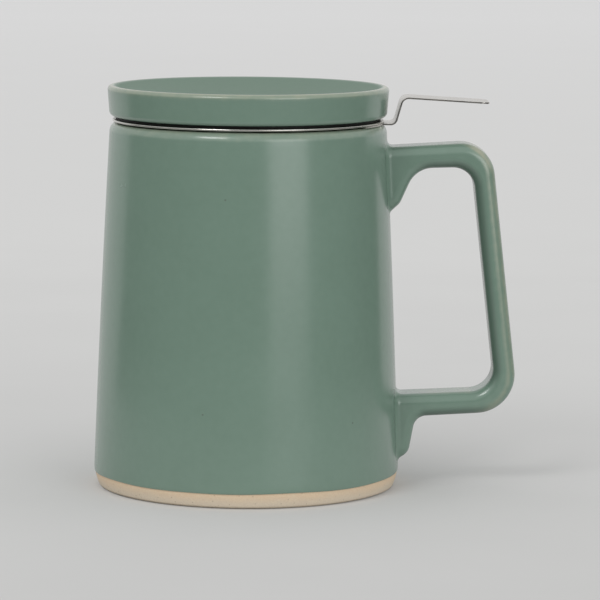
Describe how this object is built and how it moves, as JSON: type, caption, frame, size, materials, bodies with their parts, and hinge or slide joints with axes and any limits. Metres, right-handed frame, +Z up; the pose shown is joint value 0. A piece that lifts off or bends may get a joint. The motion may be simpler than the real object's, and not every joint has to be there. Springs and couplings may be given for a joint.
{
  "type": "lidded tea mug with infuser",
  "caption": "Tapered stoneware mug with a squared loop handle, a loose dished lid and a lift-out steel tea infuser with a bent lifting tab.",
  "frame": {"origin": "centre of the foot ring, in the plane that the mug stands on", "axes": "+Z up along the mug's axis, +X towards the handle"},
  "size_m": [0.1321, 0.0958, 0.1257],
  "materials": {
    "glazed_stoneware": "satin sage green glaze over a bare buff foot",
    "silicone": "matte black",
    "stamped_steel": "satin polished sheet",
    "perforated_steel": "fine perforated sheet"
  },
  "bodies": {
    "mug": {"mug_body": "glazed_stoneware", "mug_handle": "glazed_stoneware"},
    "infuser": {"infuser_flange": "stamped_steel", "infuser_tab": "stamped_steel", "strainer_wall": "perforated_steel", "strainer_floor": "perforated_steel"},
    "lid": {"lid": "glazed_stoneware", "lid_seal": "silicone"}
  },
  "joints": [
    {"name": "infuser_lift", "type": "slide", "parent": "mug", "child": "infuser", "axis": [0, 0, 1], "range_m": [0, 0.1]},
    {"name": "lid_lift", "type": "slide", "parent": "infuser", "child": "lid", "axis": [0, 0, 1], "range_m": [0, 0.04]}
  ]
}
